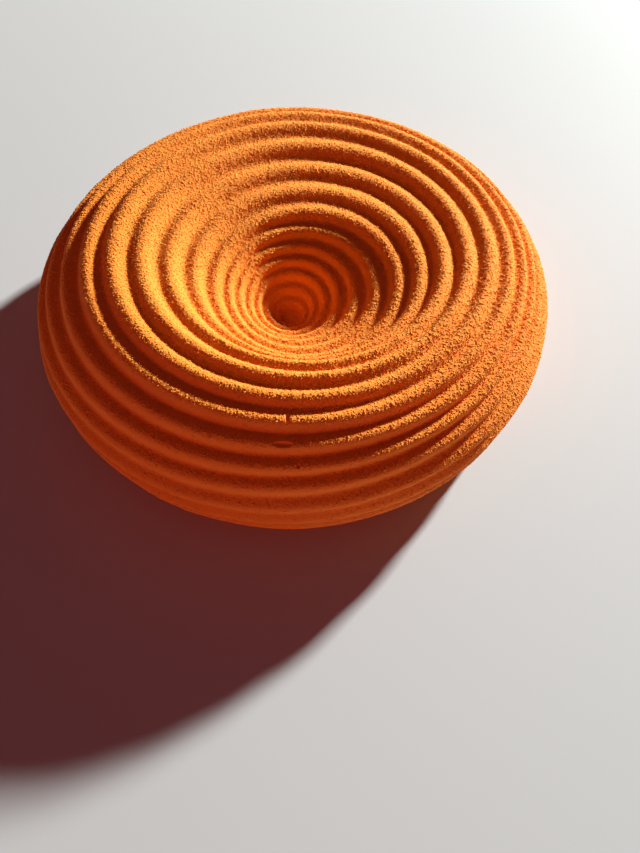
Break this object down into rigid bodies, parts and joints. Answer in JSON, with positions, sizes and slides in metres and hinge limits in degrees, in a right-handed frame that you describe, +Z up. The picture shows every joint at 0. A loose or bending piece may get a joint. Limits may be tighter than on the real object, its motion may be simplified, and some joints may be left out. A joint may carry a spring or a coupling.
{
  "type": "mousse cake",
  "caption": "Round orange mousse cake with a velvet-sprayed coat, a ring-shaped dome of closed ridges falling into an off-centre funnel.",
  "frame": {"origin": "middle of the flat foot that the cake rests on", "axes": "+Z up through the cake, -Y to its front, where the funnel's pit comes nearest and the small faults are"},
  "size_m": [0.1952, 0.195, 0.0545],
  "materials": {
    "velvet_coat": "matte, fine-grained velvet"
  },
  "bodies": {
    "root": {"mousse_cake": "velvet_coat"}
  },
  "joints": []
}
